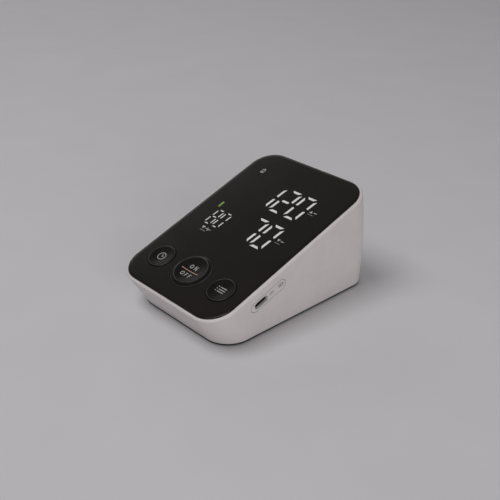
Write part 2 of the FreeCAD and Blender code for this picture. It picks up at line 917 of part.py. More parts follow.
def led_chips():
    """One light on the board in the middle of every segment's well."""
    chips = []
    half = led_width / 2
    for start, end, stroke in display_segments():
        middle = (start + end) / 2
        chips.append(on_panel(box((middle.x - half, middle.x + half), (middle.y - half, middle.y + half),
                                  (board_top, board_top + led_height))))
    return Part.makeCompound(chips)


def under_board(x, y, x_size, y_size, height):
    """A block hanging from the underside of the board."""
    return box((x - x_size / 2, x + x_size / 2), (y - y_size / 2, y + y_size / 2),
               (board_bottom - height, board_bottom))


def controller_chip():
    """The controller, a flat square chip."""
    return on_panel(under_board(board_half - chip_inset, chip_along, chip_side, chip_side, chip_height))


def buzzer():
    """The round sounder with its sound hole."""
    top = Vec(board_half - buzzer_inset, buzzer_along, board_bottom)
    low = top - Vec(0, 0, buzzer_height)
    hole = rod(buzzer_hole_radius, low - Vec(0, 0, overrun), low + Vec(0, 0, buzzer_height / 2))
    return on_panel(rod(buzzer_radius, low, top).cut(hole))


def wire_connectors():
    """Three open boxes for the leads of the pump, the valve and the cells."""
    boxes = []
    for index in (-1, 0, 1):
        x = board_half - connector_inset + index * connector_pitch
        shell = under_board(x, connector_along, connector_length, connector_width, connector_height)
        hollow = under_board(x, connector_along, connector_length - 2 * connector_wall,
                             connector_width - 2 * connector_wall, connector_height)
        hollow.translate(Vec(0, 0, -connector_wall))
        boxes.append(on_panel(shell.cut(hollow)))
    return Part.makeCompound(boxes)


# Charging port

def usb_shell():
    """The port's metal shell, open to the right and closed at its back, under the edge of the board."""
    back = usb_mouth - usb_length
    shell = stadium(usb_width, usb_height, (back, usb_mouth), usb_along, usb_level)
    hollow = stadium(usb_width - 2 * usb_wall, usb_height - 2 * usb_wall,
                     (back + usb_back, usb_mouth + overrun), usb_along, usb_level)
    return on_panel(shell.cut(hollow))


def usb_tongue():
    """The contact tongue that stands in the middle of the shell."""
    root = usb_mouth - usb_length + usb_back
    half = tongue_thickness / 2
    y_span = (usb_along - tongue_width / 2, usb_along + tongue_width / 2)
    return on_panel(box((root, root + tongue_length), y_span, (usb_level - half, usb_level + half)))


# Air line

def barb(face, direction):
    """A hose barb standing on a face, without its bore."""
    return rod(barb_radius, face, face + direction * barb_length)


def air_socket():
    """The socket for the cuff's air plug, flush with the left wall and butted on the manifold."""
    outside = air_axis(-rim_span)
    body = rod(socket_radius, outside, air_axis(socket_tail)).common(wedge(0, 0))
    flange_end = air_axis(socket_mouth + wall + socket_flange_thickness)
    flange = rod(socket_radius + socket_flange, outside, flange_end)
    flange = flange.common(wedge(wall + socket_flange_gap, -ceiling_level))
    bore = rod(socket_bore_radius, outside, air_axis(socket_tail + overrun))
    mouth = rod(socket_mouth_radius, outside, air_axis(socket_mouth + socket_mouth_depth))
    return body.fuse(flange).removeSplitter().cut([bore, mouth])


def air_manifold():
    """The block that joins the socket, the pump, the sensor and the valve."""
    half = manifold_half
    block = box((socket_tail, manifold_end), (air_y - half, air_y + half), (air_height - half, manifold_top))
    solids = [block, barb(air_axis(manifold_end), Vec(1, 0, 0))]
    barb_end = manifold_end + barb_length
    bores = [rod(air_bore_radius, air_axis(socket_tail - overrun), air_axis(barb_end + overrun))]
    for x in (pump_port_x, sensor_port_x):
        root = Vec(x, air_y, manifold_top)
        solids.append(barb(root, Vec(0, 0, 1)))
        bores.append(rod(air_bore_radius, air_axis(x), root + Vec(0, 0, barb_length + overrun)))
    return joined(solids).cut(bores)


def pressure_sensor():
    """The sensor under the board, with its barb pointing down at the manifold."""
    body = under_board(sensor_place.x, sensor_place.y, sensor_side, sensor_side, sensor_height)
    face = Vec(sensor_place.x, sensor_place.y, board_bottom - sensor_height)
    nipple = barb(face, Vec(0, 0, -1))
    bore = rod(air_bore_radius, face - Vec(0, 0, barb_length + overrun), face + Vec(0, 0, sensor_height / 2))
    return on_panel(joined([body, nipple]).cut(bore))


def pump_hose():
    """From the pump's outlet, forward over the bay and down to the manifold."""
    aside = Vec(pump_port_x, pump_y, pump_z)
    above = Vec(pump_port_x, air_y, pump_z)
    root = Vec(pump_port_x, air_y, manifold_top)
    return hose([pump_axis(pump_start), aside, above, root])


def sensor_hose():
    """From the manifold up to the sensor."""
    root = Vec(sensor_port_x, air_y, manifold_top)
    face = panel_frame.multVec(Vec(sensor_place.x, sensor_place.y, board_bottom - sensor_height))
    return hose([root, sensor_corner, face])


def valve_hose():
    """Straight from the manifold to the valve."""
    return pipe(hose_radius, barb_radius, air_axis(manifold_end), air_axis(valve_face))


# Release valve

def valve_block(x_span, y_half, z_half):
    """A block about the valve's axis."""
    return box(x_span, (air_y - y_half, air_y + y_half), (air_height - z_half, air_height + z_half))


def valve_body():
    """The valve's moulded nose, with the barb and the seat that the plunger shuts."""
    block = valve_block((valve_face, coil_front), valve_side / 2, valve_side / 2)
    nose = joined([block, barb(air_axis(valve_face), Vec(-1, 0, 0))])
    barb_end = valve_face - barb_length
    return nose.cut(rod(air_bore_radius, air_axis(barb_end - overrun), air_axis(coil_front + overrun)))


def valve_frame():
    """The steel yoke round the coil: two sides and a back with the plunger's hole."""
    half = valve_side / 2
    outer = valve_block((coil_front, coil_back), half, half)
    inner = valve_block((coil_front - overrun, coil_back - valve_frame_thickness),
                        half - valve_frame_thickness, half + overrun)
    hole = rod(plunger_core_radius + plunger_core_gap, air_axis(coil_front), air_axis(coil_back + overrun))
    return outer.cut([inner, hole])


def valve_coil():
    """The wound coil on its bobbin, between the nose and the yoke's back."""
    cheek_radius = valve_side / 2 - valve_frame_thickness - bobbin_gap
    back = coil_back - valve_frame_thickness
    cheek = valve_frame_thickness
    solids = [
        rod(cheek_radius - winding_inset, air_axis(coil_front), air_axis(back)),
        rod(cheek_radius, air_axis(coil_front), air_axis(coil_front + cheek)),
        rod(cheek_radius, air_axis(back - cheek), air_axis(back)),
    ]
    bore = rod(plunger_core_radius + plunger_core_gap, air_axis(coil_front - overrun),
               air_axis(back + overrun))
    return joined(solids).cut(bore)


def valve_plunger():
    """The steel plunger in the coil, which the coil draws towards the seat."""
    return rod(plunger_core_radius, air_axis(pad_front + pad_thickness), air_axis(coil_back + plunger_tail))


def valve_pad():
    """The rubber pad on the plunger's nose."""
    return rod(plunger_core_radius, air_axis(pad_front), air_axis(pad_front + pad_thickness))


# Pump

def pump_cap():
    """The outlet end of the pump with its barb."""
    solid = joined([rod(head_radius, pump_axis(pump_start), pump_axis(cap_end)),
                    barb(pump_axis(pump_start), Vec(-1, 0, 0))])
    pocket = rod(head_radius - head_wall, pump_axis(cap_end - cap_pocket), pump_axis(cap_end + overrun))
    bore = rod(air_bore_radius, pump_axis(pump_start - barb_length - overrun), pump_axis(cap_end))
    return solid.cut([pocket, bore])


def pump_diaphragm():
    """The rubber disc clamped between the cap and the head."""
    return rod(head_radius, pump_axis(cap_end), pump_axis(head_start))


def pump_head():
    """The crank's casing between the diaphragm and the motor."""
    solid = rod(head_radius, pump_axis(head_start), pump_axis(motor_start))
    cavity = rod(head_radius - head_wall, pump_axis(head_start - overrun), pump_axis(motor_start - head_wall))
    hole = rod(shaft_radius + crank_hole_gap, pump_axis(head_start), pump_axis(motor_start + overrun))
    return solid.cut([cavity, hole])


def pump_motor():
    """The motor's steel can with a bearing hole at each end."""
    can = rod(motor_radius, pump_axis(motor_start), pump_axis(motor_end))
    hollow = rod(motor_radius - motor_wall, pump_axis(motor_start + motor_wall),
                 pump_axis(motor_end - motor_wall))
    bearing = rod(shaft_radius + shaft_gap, pump_axis(motor_start - overrun), pump_axis(motor_end + overrun))
    return can.cut([hollow, bearing])


def motor_magnets():
    """Two curved magnets inside the can."""
    outer = motor_radius - motor_wall
    sweep = 180 - magnet_gap_angle
    magnets = []
    for side in (0, 180):
        arc = Part.makeCylinder(outer, rotor_length, Vec(0, 0, 0), Vec(0, 0, 1), sweep)
        arc = arc.cut(rod(outer - magnet_thickness, Vec(0, 0, 0), Vec(0, 0, rotor_length)))
        arc.rotate(Vec(0, 0, 0), Vec(0, 0, 1), side + magnet_gap_angle / 2)
        along = FreeCAD.Placement(pump_axis(rotor_start), FreeCAD.Rotation(Vec(0, 0, 1), Vec(1, 0, 0)))
        arc.Placement = along.multiply(arc.Placement)
        magnets.append(arc)
    return Part.makeCompound(magnets)


def pump_rotor():
    """The motor's shaft with its wound core."""
    shaft = rod(shaft_radius, pump_axis(crank_start), pump_axis(motor_end - motor_wall + shaft_end_gap))
    return joined([shaft, rod(rotor_radius, pump_axis(rotor_start), pump_axis(rotor_end))])


def pump_crank():
    """The crank on the shaft's end, with the pin that works the diaphragm."""
    start = crank_start - shaft_end_gap
    disc = rod(crank_radius, pump_axis(start), pump_axis(start + crank_length))
    throw = Vec(0, 0, crank_pin_throw)
    pin = rod(crank_pin_radius, pump_axis(start - crank_pin_length) + throw, pump_axis(start) + throw)
    hole = rod(shaft_radius, pump_axis(crank_start), pump_axis(start + crank_length + overrun))
    return joined([disc, pin]).cut(hole)


def pump_sleeve():
    """The soft sleeve between the motor and its saddle."""
    start, end = saddle_span
    return pipe(motor_radius + sleeve_thickness, motor_radius, pump_axis(start), pump_axis(end))


def pump_clamp():
    """The strap over the motor, screwed to the ears of its saddle."""
    inner = motor_radius + sleeve_thickness
    ear = saddle_reach
    strap = rod(inner + clamp_thickness, pump_axis(saddle_span[0]), pump_axis(saddle_span[1]))
    strap = strap.common(box(saddle_span, (pump_y - ear, pump_y + ear), (pump_z, pump_z + ear)))
    tabs = box(saddle_span, (pump_y - ear, pump_y + ear), (pump_z, pump_z + clamp_tab))
    hollow = rod(inner, pump_axis(saddle_span[0] - overrun), pump_axis(saddle_span[1] + overrun))
    holes = [hollow]
    for y in clamp_screw_ys:
        holes.append(rod(board_screw_radius + screw_gap, Vec(saddle_middle, y, pump_z - overrun),
                         Vec(saddle_middle, y, pump_z + ear)))
    return joined([strap, tabs]).cut(holes)


def clamp_screws():
    """Two screws down through the clamp's tabs into the saddle."""
    screws = []
    for y in clamp_screw_ys:
        screws.append(screw(Vec(saddle_middle, y, pump_z + clamp_tab), Vec(0, 0, -1), board_screw_radius,
                            clamp_screw_length, board_screw_head_radius, board_screw_head_height,
                            board_screw_slot_width, board_screw_slot_depth))
    return Part.makeCompound(screws)


# Cells and contacts

def cell_places():
    """Each cell's x and the direction that its nub points in, turned about from one cell to the next."""
    pitch = 2 * cell_radius + cell_gap
    first = -pitch * (cell_count - 1) / 2
    return [(first + index * pitch, 1 if index % 2 == 0 else -1) for index in range(cell_count)]


def cell_ends(direction):
    """The y of a cell's flat end and of its nub's end."""
    if direction > 0:
        return bay_front + contact_thickness + bow_radius, bay_back - contact_thickness
    return bay_back - contact_thickness - bow_radius, bay_front + contact_thickness


def battery_cells():
    """Four cells side by side, head to tail."""
    cells = []
    for x, direction in cell_places():
        flat, tip = cell_ends(direction)
        shoulder = Vec(x, tip - direction * cell_nub_height, cell_z)
        can = rod(cell_radius, Vec(x, flat, cell_z), shoulder)
        can = can.makeFillet(cell_round, [edge for edge in can.Edges if edge.Closed])
        cells.append(can.fuse(rod(cell_nub_radius, shoulder, Vec(x, tip, cell_z))).removeSplitter())
    return Part.makeCompound(cells)


def contact_plate(x, direction, at_nub):
    """A contact plate on the bay's end wall behind one end of a cell."""
    at_back = (direction > 0) == at_nub
    wall_y = bay_back if at_back else bay_front
    inward = -1 if at_back else 1
    y_span = sorted((wall_y, wall_y + inward * contact_thickness))
    half = contact_width / 2
    plate = box((x - half, x + half), y_span, (cell_z - contact_height / 2, cell_z + contact_height / 2))
    return plate, wall_y + inward * contact_thickness, inward


def plate_contacts():
    """A flat plate behind each nub."""
    return Part.makeCompound([contact_plate(x, direction, True)[0] for x, direction in cell_places()])


def bow_contacts():
    """A plate with a bowed leaf behind each flat end."""
    contacts = []
    for x, direction in cell_places():
        plate, face, inward = contact_plate(x, direction, False)
        half = contact_width / 4
        bow = pipe(bow_radius, bow_radius - contact_thickness, Vec(x - half, face, cell_z),
                   Vec(x + half, face, cell_z))
        y_span = sorted((face, face + inward * bow_radius))
        bow = bow.common(box((x - half, x + half), y_span, (cell_z - bow_radius, cell_z + bow_radius)))
        contacts.append(joined([plate, bow]))
    return Part.makeCompound(contacts)


# One file for each piece

os.makedirs("parts", exist_ok=True)
pieces = {
    "upper_housing": upper_housing(),
    "bottom_cover": bottom_cover(),
    "front_panel": front_panel(),
    "panel_tape": panel_tape(),
    "port_plate": port_plate(),
    "battery_door": battery_door(),
    "housing_screws": housing_screws(),
    "rubber_feet": rubber_feet(),
    "start_button": button(button_places["start"], start_radius, start_crown_radius, start_height,
                           start_dish),
    "switch_bodies": switch_bodies(),
    "main_board": main_board(),
    "board_screws": board_screws(),
    "display_reflector": display_reflector(),
    "display_film": display_film(),
    "led_chips": led_chips(),
    "controller_chip": controller_chip(),
    "buzzer": buzzer(),
    "wire_connectors": wire_connectors(),
    "usb_shell": usb_shell(),
    "usb_tongue": usb_tongue(),
    "air_socket": air_socket(),
    "air_manifold": air_manifold(),
    "pressure_sensor": pressure_sensor(),
    "pump_hose": pump_hose(),
    "valve_hose": valve_hose(),
    "sensor_hose": sensor_hose(),
    "valve_body": valve_body(),
    "valve_frame": valve_frame(),
    "valve_coil": valve_coil(),
    "valve_plunger": valve_plunger(),
    "valve_pad": valve_pad(),
    "pump_cap": pump_cap(),
    "pump_diaphragm": pump_diaphragm(),
    "pump_head": pump_head(),
    "pump_motor": pump_motor(),
    "motor_magnets": motor_magnets(),
    "pump_rotor": pump_rotor(),
    "pump_crank": pump_crank(),
    "pump_sleeve": pump_sleeve(),
    "pump_clamp": pump_clamp(),
    "clamp_screws": clamp_screws(),
    "battery_cells": battery_cells(),
    "plate_contacts": plate_contacts(),
    "bow_contacts": bow_contacts(),
}
for name in ("set", "mem"):
    crown_radius = side_radius - side_crown_inset
    pieces[name + "_button"] = button(button_places[name], side_radius, crown_radius, side_height, side_dish)
for name, place in button_places.items():
    pieces[name + "_plunger"] = switch_plunger(place)
for name, shape in pieces.items():
    solids = len(shape.Solids)
    print(f"{name}: {solids} solid(s), {shape.Volume:.1f} mm3, valid {shape.isValid()}")
    shape.exportStep(f"parts/{name}.step")
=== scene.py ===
# The blood pressure monitor in its finishes, with the lit digits and printed marks that its panel carries.
import json
import math

import bmesh
import bpy
from mathutils import Matrix, Vector


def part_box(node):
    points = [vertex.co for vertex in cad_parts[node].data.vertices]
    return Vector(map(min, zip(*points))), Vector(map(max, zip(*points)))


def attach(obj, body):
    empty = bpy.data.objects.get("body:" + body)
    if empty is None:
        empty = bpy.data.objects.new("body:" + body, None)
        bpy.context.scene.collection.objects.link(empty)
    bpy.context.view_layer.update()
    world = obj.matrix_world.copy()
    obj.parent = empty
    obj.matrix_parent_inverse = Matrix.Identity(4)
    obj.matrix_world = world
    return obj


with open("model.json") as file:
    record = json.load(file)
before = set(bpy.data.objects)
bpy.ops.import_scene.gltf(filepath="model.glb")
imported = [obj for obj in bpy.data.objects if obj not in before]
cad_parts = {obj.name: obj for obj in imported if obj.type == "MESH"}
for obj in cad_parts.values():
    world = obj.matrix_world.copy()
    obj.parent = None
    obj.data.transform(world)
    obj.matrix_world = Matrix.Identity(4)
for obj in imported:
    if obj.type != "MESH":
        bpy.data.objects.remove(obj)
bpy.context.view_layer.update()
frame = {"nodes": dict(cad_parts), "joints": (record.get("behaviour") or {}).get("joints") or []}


# Studio
# A plain pale floor in soft light: a dim even room, lamps overhead and at the right, a wide one behind.
# The camera stands to the right of the front and looks down on the sloping panel.
mm = 0.001


def srgb(red, green, blue):
    """A colour of a screen, 0 to 255, as the linear values that shaders take."""
    shares = [channel / 255 for channel in (red, green, blue)]
    linear = [((share + 0.055) / 1.055) ** 2.4 if share > 0.04 else share / 12.92 for share in shares]
    return (*linear, 1.0)


class Wire:
    """One output of a finish's nodes. Sums of wires and numbers add their Math nodes."""

    def __init__(self, tree, output):
        self.tree = tree
        self.output = output

    def node(self, kind, settings, sockets, result=0):
        """Adds a node, sets its settings and its sockets' values or links, and gives one of its outputs."""
        added = self.tree.nodes.new("ShaderNode" + kind)
        for name, value in settings.items():
            setattr(added, name, value)
        for name, value in sockets.items():
            if isinstance(value, Wire):
                self.tree.links.new(value.output, added.inputs[name])
            else:
                added.inputs[name].default_value = value
        return Wire(self.tree, added.outputs[result])

    def math(self, operation, first, second=0.0):
        """A Math node on one or two wires or numbers."""
        return self.node("Math", {"operation": operation}, {0: first, 1: second})

    def __add__(self, other):
        return self.math("ADD", self, other)

    def __sub__(self, other):
        return self.math("SUBTRACT", self, other)

    def __mul__(self, other):
        return self.math("MULTIPLY", self, other)

    def __rsub__(self, other):
        return self.math("SUBTRACT", other, self)

    __radd__ = __add__
    __rmul__ = __mul__

    def over(self, low, high):
        """0 where this is at low, 1 where it is at high, and held there beyond."""
        return self.node("MapRange", {"clamp": True}, {"Value": self, "From Min": low, "From Max": high})

    def tint(self, low, high):
        """The colour low where this is 0, going to the colour high where it is 1."""
        return self.node("Mix", {"data_type": "RGBA"}, {0: self, 6: low, 7: high}, 2)

    def noise(self, size, detail=2):
        """Soft unevenness about as coarse as size, in metres, where this is a place."""
        return self.node("TexNoise", {}, {"Vector": self, "Scale": 1 / size, "Detail": detail})

    def stretched(self, x, y, z):
        """This place with its three lengths multiplied."""
        return self.node("VectorMath", {"operation": "MULTIPLY"}, {0: self, 1: (x, y, z)})

    def along(self, direction):
        """How far this place or direction goes along another direction."""
        return self.node("VectorMath", {"operation": "DOT_PRODUCT"}, {0: self, 1: direction}, 1)

    def feed(self, shader, socket):
        """Links this to a socket of a shader."""
        self.tree.links.new(self.output, shader.inputs[socket])


def finish(name, **values):
    """A new finish: the material, its shader with the even values set, and the places on the piece."""
    material = bpy.data.materials.new(name)
    material.use_nodes = True
    tree = material.node_tree
    shader = tree.nodes["Principled BSDF"]
    for socket, value in values.items():
        shader.inputs[socket.replace("_", " ")].default_value = value
    places = Wire(tree, shader.outputs["BSDF"]).node("TexCoord", {}, {}, "Object")
    return material, shader, places


def bump(shader, height, depth):
    """Gives a shader the relief of height, where a height of 1 is depth metres."""
    height.node("Bump", {}, {"Height": height, "Distance": depth, "Strength": 1.0}).feed(shader, "Normal")


floor_paper, shader, places = finish("floor_paper")
clouds = places.noise(50 * mm, detail=4).over(0.3, 0.7)
clouds.tint(srgb(214, 212, 215), srgb(217, 215, 218)).feed(shader, "Base Color")
(places.noise(20 * mm) * 0.1 + 0.8).feed(shader, "Roughness")
bump(shader, places.noise(0.6 * mm), 0.01 * mm)

floor_half = 4000 * mm
floor_mesh = bpy.data.meshes.new("floor")
floor_corners = [(-floor_half, -floor_half, 0), (floor_half, -floor_half, 0),
                 (floor_half, floor_half, 0), (-floor_half, floor_half, 0)]
floor_mesh.from_pydata(floor_corners, [], [(0, 1, 2, 3)])
floor_mesh.materials.append(floor_paper)
floor = bpy.data.objects.new("floor", floor_mesh)
bpy.context.scene.collection.objects.link(floor)

room = bpy.data.worlds.new("studio_room")
room.use_nodes = True
room_light = room.node_tree.nodes["Background"]
room_light.inputs["Color"].default_value = (1.0, 0.985, 0.98, 1.0)
room_light.inputs["Strength"].default_value = 0.2
bpy.context.scene.world = room
bpy.context.scene.view_settings.view_transform = "Standard"

lamps = {
    "overhead_lamp": ((-0.24, -0.64, 1.5), 0.8, 9.5),
    "side_lamp": ((1.4, -0.52, 0.44), 0.8, 6.6),
    "back_lamp": ((-2.0, 1.0, 0.85), 1.8, 6.4),
}
for name, (place, width, power) in lamps.items():
    lamp = bpy.data.lights.new(name, "AREA")
    lamp.size = width
    lamp.energy = power
    lamp_stand = bpy.data.objects.new(name, lamp)
    lamp_stand.location = place
    lamp_stand.rotation_euler = (-Vector(place)).to_track_quat("-Z", "Y").to_euler()
    bpy.context.scene.collection.objects.link(lamp_stand)

azimuth = math.radians(47.505)
elevation = math.radians(27.826)
sight_back = Vector((math.sin(azimuth) * math.cos(elevation), -math.cos(azimuth) * math.cos(elevation),
                     math.sin(elevation)))
sight_right = Vector((math.cos(azimuth), math.sin(azimuth), 0))
sight_up = sight_back.cross(sight_right)
sight_aim = Vector((0, -2.0, 29.4)) * mm
sight_distance, shift_right, shift_down = 475.5, 3.44, 1.06
sight_offset = sight_back * sight_distance + sight_right * shift_right - sight_up * shift_down
sight_place = sight_aim + sight_offset * mm
lens = bpy.data.cameras.new("photo_camera")
lens.sensor_width = 36.0
lens.lens = 59.79
camera = bpy.data.objects.new("photo_camera", lens)
turn = Matrix((sight_right, sight_up, sight_back)).transposed().to_4x4()
camera.matrix_world = Matrix.Translation(sight_place) @ turn
bpy.context.scene.collection.objects.link(camera)
bpy.context.scene.camera = camera


# Bottom cover and battery door
# The dark base tray and the door that slides off its back, moulded in black ABS with a coarse grain. The
# tray's dark colour is partly its own and partly painted shade: it stands in for the shadow line under the
# housing's edge.
# The tray takes the four housing screws; the door's grip has grooves for a thumb.

def dress(material, *names):
    """Gives CAD nodes their finish."""
    for name in names:
        for slot in frame["nodes"][name].material_slots:
            slot.material = material


def moulded(name, dark, light, roughness, grain, depth):
    """Moulded plastic: a spark-eroded grain, a faint unevenness of colour, and patches rubbed smoother."""
    material, shader, places = finish(name)
    mottle = places.noise(12 * mm, detail=4).over(0.3, 0.7)
    pits = places.noise(grain, detail=3)
    rubbed = places.noise(20 * mm, detail=5).over(0.52, 0.72)
    (mottle * 0.8 + pits.over(0.35, 0.65) * 0.2).tint(dark, light).feed(shader, "Base Color")
    (pits * 0.14 + (roughness - 0.07) - rubbed * 0.06).feed(shader, "Roughness")
    bump(shader, pits, depth)
    return material


# Partly painted shade: the dark band under the housing's edge also stands in for the shadow line there.
cover_dark = moulded("cover_dark", srgb(24, 23, 23), srgb(31, 30, 30),
                     roughness=0.55, grain=0.6 * mm, depth=0.02 * mm)
dress(cover_dark, "bottom_cover", "battery_door")


# Upper housing and port plate
# The wedge-shaped shell, moulded in white ABS with a fine eroded grain, and the insert round the port.
# The shell is screwed on from below; the insert is pressed into its wall, with a groove round its face.
housing_white = moulded("housing_white", srgb(213, 206, 206), srgb(221, 214, 214),
                        roughness=0.45, grain=0.35 * mm, depth=0.006 * mm)
dress(housing_white, "upper_housing")
port_white = moulded("port_white", srgb(210, 204, 205), srgb(218, 212, 213),
                     roughness=0.42, grain=0.3 * mm, depth=0.005 * mm)
dress(port_white, "port_plate")


# Front panel
# A smoked acrylic sheet, black gloss from outside, stuck into the housing's seat with a tape frame.
# Its edge is polished in a soft roll. It has faint wiping marks and the dull film that fingers leave.
press_axis = next(joint["axis"] for joint in frame["joints"] if joint["name"] == "start_press")
panel_normal = -Vector(press_axis)
panel_slope = panel_normal.cross(Vector((1, 0, 0)))


def middle(node):
    """The middle of a CAD node's box."""
    low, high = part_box(node)
    return (Vector(low) + Vector(high)) / 2


panel_middle = middle("front_panel")
panel_half_width, panel_half_length, panel_corner = 41.5 * mm, 61.9 * mm, 14.4 * mm


def from_edge(places):
    """How far inside the panel's round-cornered outline a place lies."""
    past = []
    for direction, half in ((Vector((1, 0, 0)), panel_half_width), (panel_slope, panel_half_length)):
        offset = places.along(direction) - panel_middle.dot(direction)
        past.append(places.math("ABSOLUTE", offset) - (half - panel_corner))
    aside, ahead = (places.math("MAXIMUM", length, 0.0) for length in past)
    round_past = places.math("SQRT", aside * aside + ahead * ahead)
    flat_past = places.math("MINIMUM", places.math("MAXIMUM", *past), 0.0)
    return panel_corner - (round_past + flat_past)


panel_black, shader, places = finish("panel_black", Specular_IOR_Level=0.3)
smears = places.noise(18 * mm, detail=4).over(0.4, 0.8)
wipes = places.stretched(1.0, 8.0, 1.0).noise(20 * mm).over(0.4, 0.8)
tone = places.noise(30 * mm, detail=3).over(0.3, 0.7)
tone.tint(srgb(24, 19, 17), srgb(28, 23, 21)).feed(shader, "Base Color")
(smears * 0.03 + wipes * 0.015 + 0.16).feed(shader, "Roughness")
roll_width, roll_drop, ripple = 2.1 * mm, 0.28 * mm, 0.0006 * mm
roll = from_edge(places).over(roll_width, 0.0)
bump(shader, places.noise(4 * mm) * (ripple / roll_drop) - roll * roll, roll_drop)
dress(panel_black, "front_panel")


# Lit digits
# The display's segments, lit from under the panel: two large rows on the right, a small one on the left.
# The smoked sheet hides every segment that is off. Each lit one is a little brighter along its middle.
layer_lift = 0.015 * mm
layer_thickness = 0.03 * mm
ray_start = 9 * mm
same_point = 0.0005


def over_panel(u, v):
    """A place over the panel, across and up its slope in millimetres, and the way down to it."""
    place = panel_middle + Vector((u, 0, 0)) * mm + panel_slope * (v * mm)
    return place + panel_normal * ray_start, -panel_normal


def layer(name, outlines, node, over, material, body, core=0.0):
    """A thin closed layer of outlines, laid on a CAD node's surface. A core brightens their middles."""
    made = bmesh.new()
    for outline in outlines:
        made.faces.new([made.verts.new((u, v, 0)) for u, v in outline])
    bmesh.ops.remove_doubles(made, verts=made.verts, dist=same_point)
    rim = set(made.verts)
    if core:
        bmesh.ops.inset_individual(made, faces=list(made.faces), thickness=core)
    glow = [0.0 if vert in rim else 1.0 for vert in made.verts]
    for vert in made.verts:
        start, aim = over(vert.co.x, vert.co.y)
        place = frame["nodes"][node].ray_cast(start, aim)[1]
        vert.co = place - aim * layer_lift
    mesh = bpy.data.meshes.new(name)
    made.to_mesh(mesh)
    made.free()
    mesh.attributes.new("glow", "FLOAT", "POINT").data.foreach_set("value", glow)
    mesh.materials.append(material)
    laid = bpy.data.objects.new(name, mesh)
    bpy.context.scene.collection.objects.link(laid)
    skin = laid.modifiers.new("thickness", "SOLIDIFY")
    skin.thickness = layer_thickness
    skin.offset = -1
    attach(laid, body)


def digit(shown, u, v, width, height, stroke, gap, lean):
    """The outlines of a digit's lit segments about its middle, with mitred ends and gaps between them."""
    side, top, half = width / 2, height / 2, stroke / 2
    inner, low, waist = side - stroke, top - stroke, gap * 0.83
    tip, shoulder = inner - gap * 0.33, inner - gap * 0.78
    across = [(-side + gap, top), (side - gap, top), (inner - gap, low), (-inner + gap, low)]
    waist_bar = [(-tip, 0), (-shoulder, half), (shoulder, half),
                 (tip, 0), (shoulder, -half), (-shoulder, -half)]
    upright = [(side, top - gap), (side, waist), (side - half * 0.8, waist - half * 0.2),
               (inner, waist + half * 0.5), (inner, low - gap)]
    segments = {
        "top": across, "bottom": [(x, -y) for x, y in across], "middle": waist_bar,
        "high_right": upright, "low_right": [(x, -y) for x, y in upright],
        "high_left": [(-x, y) for x, y in upright], "low_left": [(-x, -y) for x, y in upright],
    }
    return [[(u + x + lean * y, v + y) for x, y in segments[name]] for name in shown]


shown_segments = {
    0: ("top", "bottom", "high_right", "low_right", "high_left", "low_left"),
    1: ("high_right", "low_right"),
    2: ("top", "high_right", "middle", "low_left", "bottom"),
    7: ("top", "high_right", "low_right"),
    8: ("top", "bottom", "middle", "high_right", "low_right", "high_left", "low_left"),
}
digit_lean = 0.061
large_digit = {"width": 9.7, "height": 20.2, "stroke": 1.6, "gap": 1.45, "lean": digit_lean}
small_digit = {"width": 5.35, "height": 12.9, "stroke": 0.78, "gap": 1.1, "lean": digit_lean}
high_row, low_row, pulse_row = 29.1, 1.6, -1.75
hundreds, tens, ones = -6.5, 5.5, 17.4
pulse_tens, pulse_ones = -23.6, -16.95
lit_digits = []
for number, u, v in ((1, hundreds, high_row), (2, tens, high_row), (0, ones, high_row),
                     (7, tens, low_row), (0, ones, low_row)):
    lit_digits += digit(shown_segments[number], u, v, **large_digit)
for number, u in ((8, pulse_tens), (0, pulse_ones)):
    lit_digits += digit(shown_segments[number], u, pulse_row, **small_digit)


def lit(name, dim, bright, base):
    """Light through the frosted film: brighter along a segment's middle, uneven from light to light."""
    material, shader, places = finish(name, Emission_Strength=1.0, Roughness=0.3, Specular_IOR_Level=0.2)
    core = places.node("Attribute", {"attribute_name": "glow"}, {}, 2)
    uneven = places.noise(7 * mm).over(0.3, 0.7)
    (core * 0.7 + uneven * 0.3).tint(dim, bright).feed(shader, "Emission Color")
    uneven.tint(base, tuple(channel * 1.15 for channel in base)).feed(shader, "Base Color")
    return material


digit_white = lit("digit_white", srgb(160, 158, 156), srgb(198, 196, 194), srgb(60, 59, 58))
layer("lit_digits", lit_digits, "front_panel", over_panel, digit_white, "monitor", core=0.3)
bar_green = lit("bar_green", srgb(74, 104, 36), srgb(106, 140, 62), srgb(20, 34, 10))
bar_left, bar_right, bar_low, bar_high = -29.4, -27.9, 6.2, 10.9
green_bar = [(bar_left, bar_low), (bar_right, bar_low), (bar_right, bar_high), (bar_left, bar_high)]
layer("lit_bar", [green_bar], "front_panel", over_panel, bar_green, "monitor", core=0.4)


# Panel marks
# Small plain signs in pale ink on the panel, beside the figures that they belong to.
# An upward and a downward wedge mark the high and the low value, a heart marks the pulse.
longest_run = 0.5
sharpest_turn = 0.5
circle_steps = 28


def ribbon(path, width, closed=False):
    """The outlines of a line of ink along a path, in short runs that can follow a hollow."""
    points = [Vector(point) for point in path]
    if closed:
        points.append(points[0])
    fine = [points[0]]
    for start, end in zip(points, points[1:]):
        runs = max(1, math.ceil((end - start).length / longest_run))
        fine += [start.lerp(end, run / runs) for run in range(1, runs + 1)]
    if closed:
        fine.pop()
    count = len(fine)
    sides = []
    for number, point in enumerate(fine):
        first = not closed and number == 0
        last = not closed and number == count - 1
        arrive = (point - fine[number - 1]).normalized()
        leave = (fine[(number + 1) % count] - point).normalized()
        if first:
            arrive = leave
        if last:
            leave = arrive
        along = (arrive + leave).normalized()
        aside = Vector((-along.y, along.x)) * (width / 2 / max(sharpest_turn, along.dot(leave)))
        sides.append((point + aside, point - aside))
    if closed:
        sides.append(sides[0])
    return [(left[:], right[:], right_next[:], left_next[:])
            for (left, right), (left_next, right_next) in zip(sides, sides[1:])]


def round_path(u, v, radius):
    """Places round a circle."""
    turns = [2 * math.pi * step / circle_steps for step in range(circle_steps)]
    return [(u + radius * math.cos(turn), v + radius * math.sin(turn)) for turn in turns]


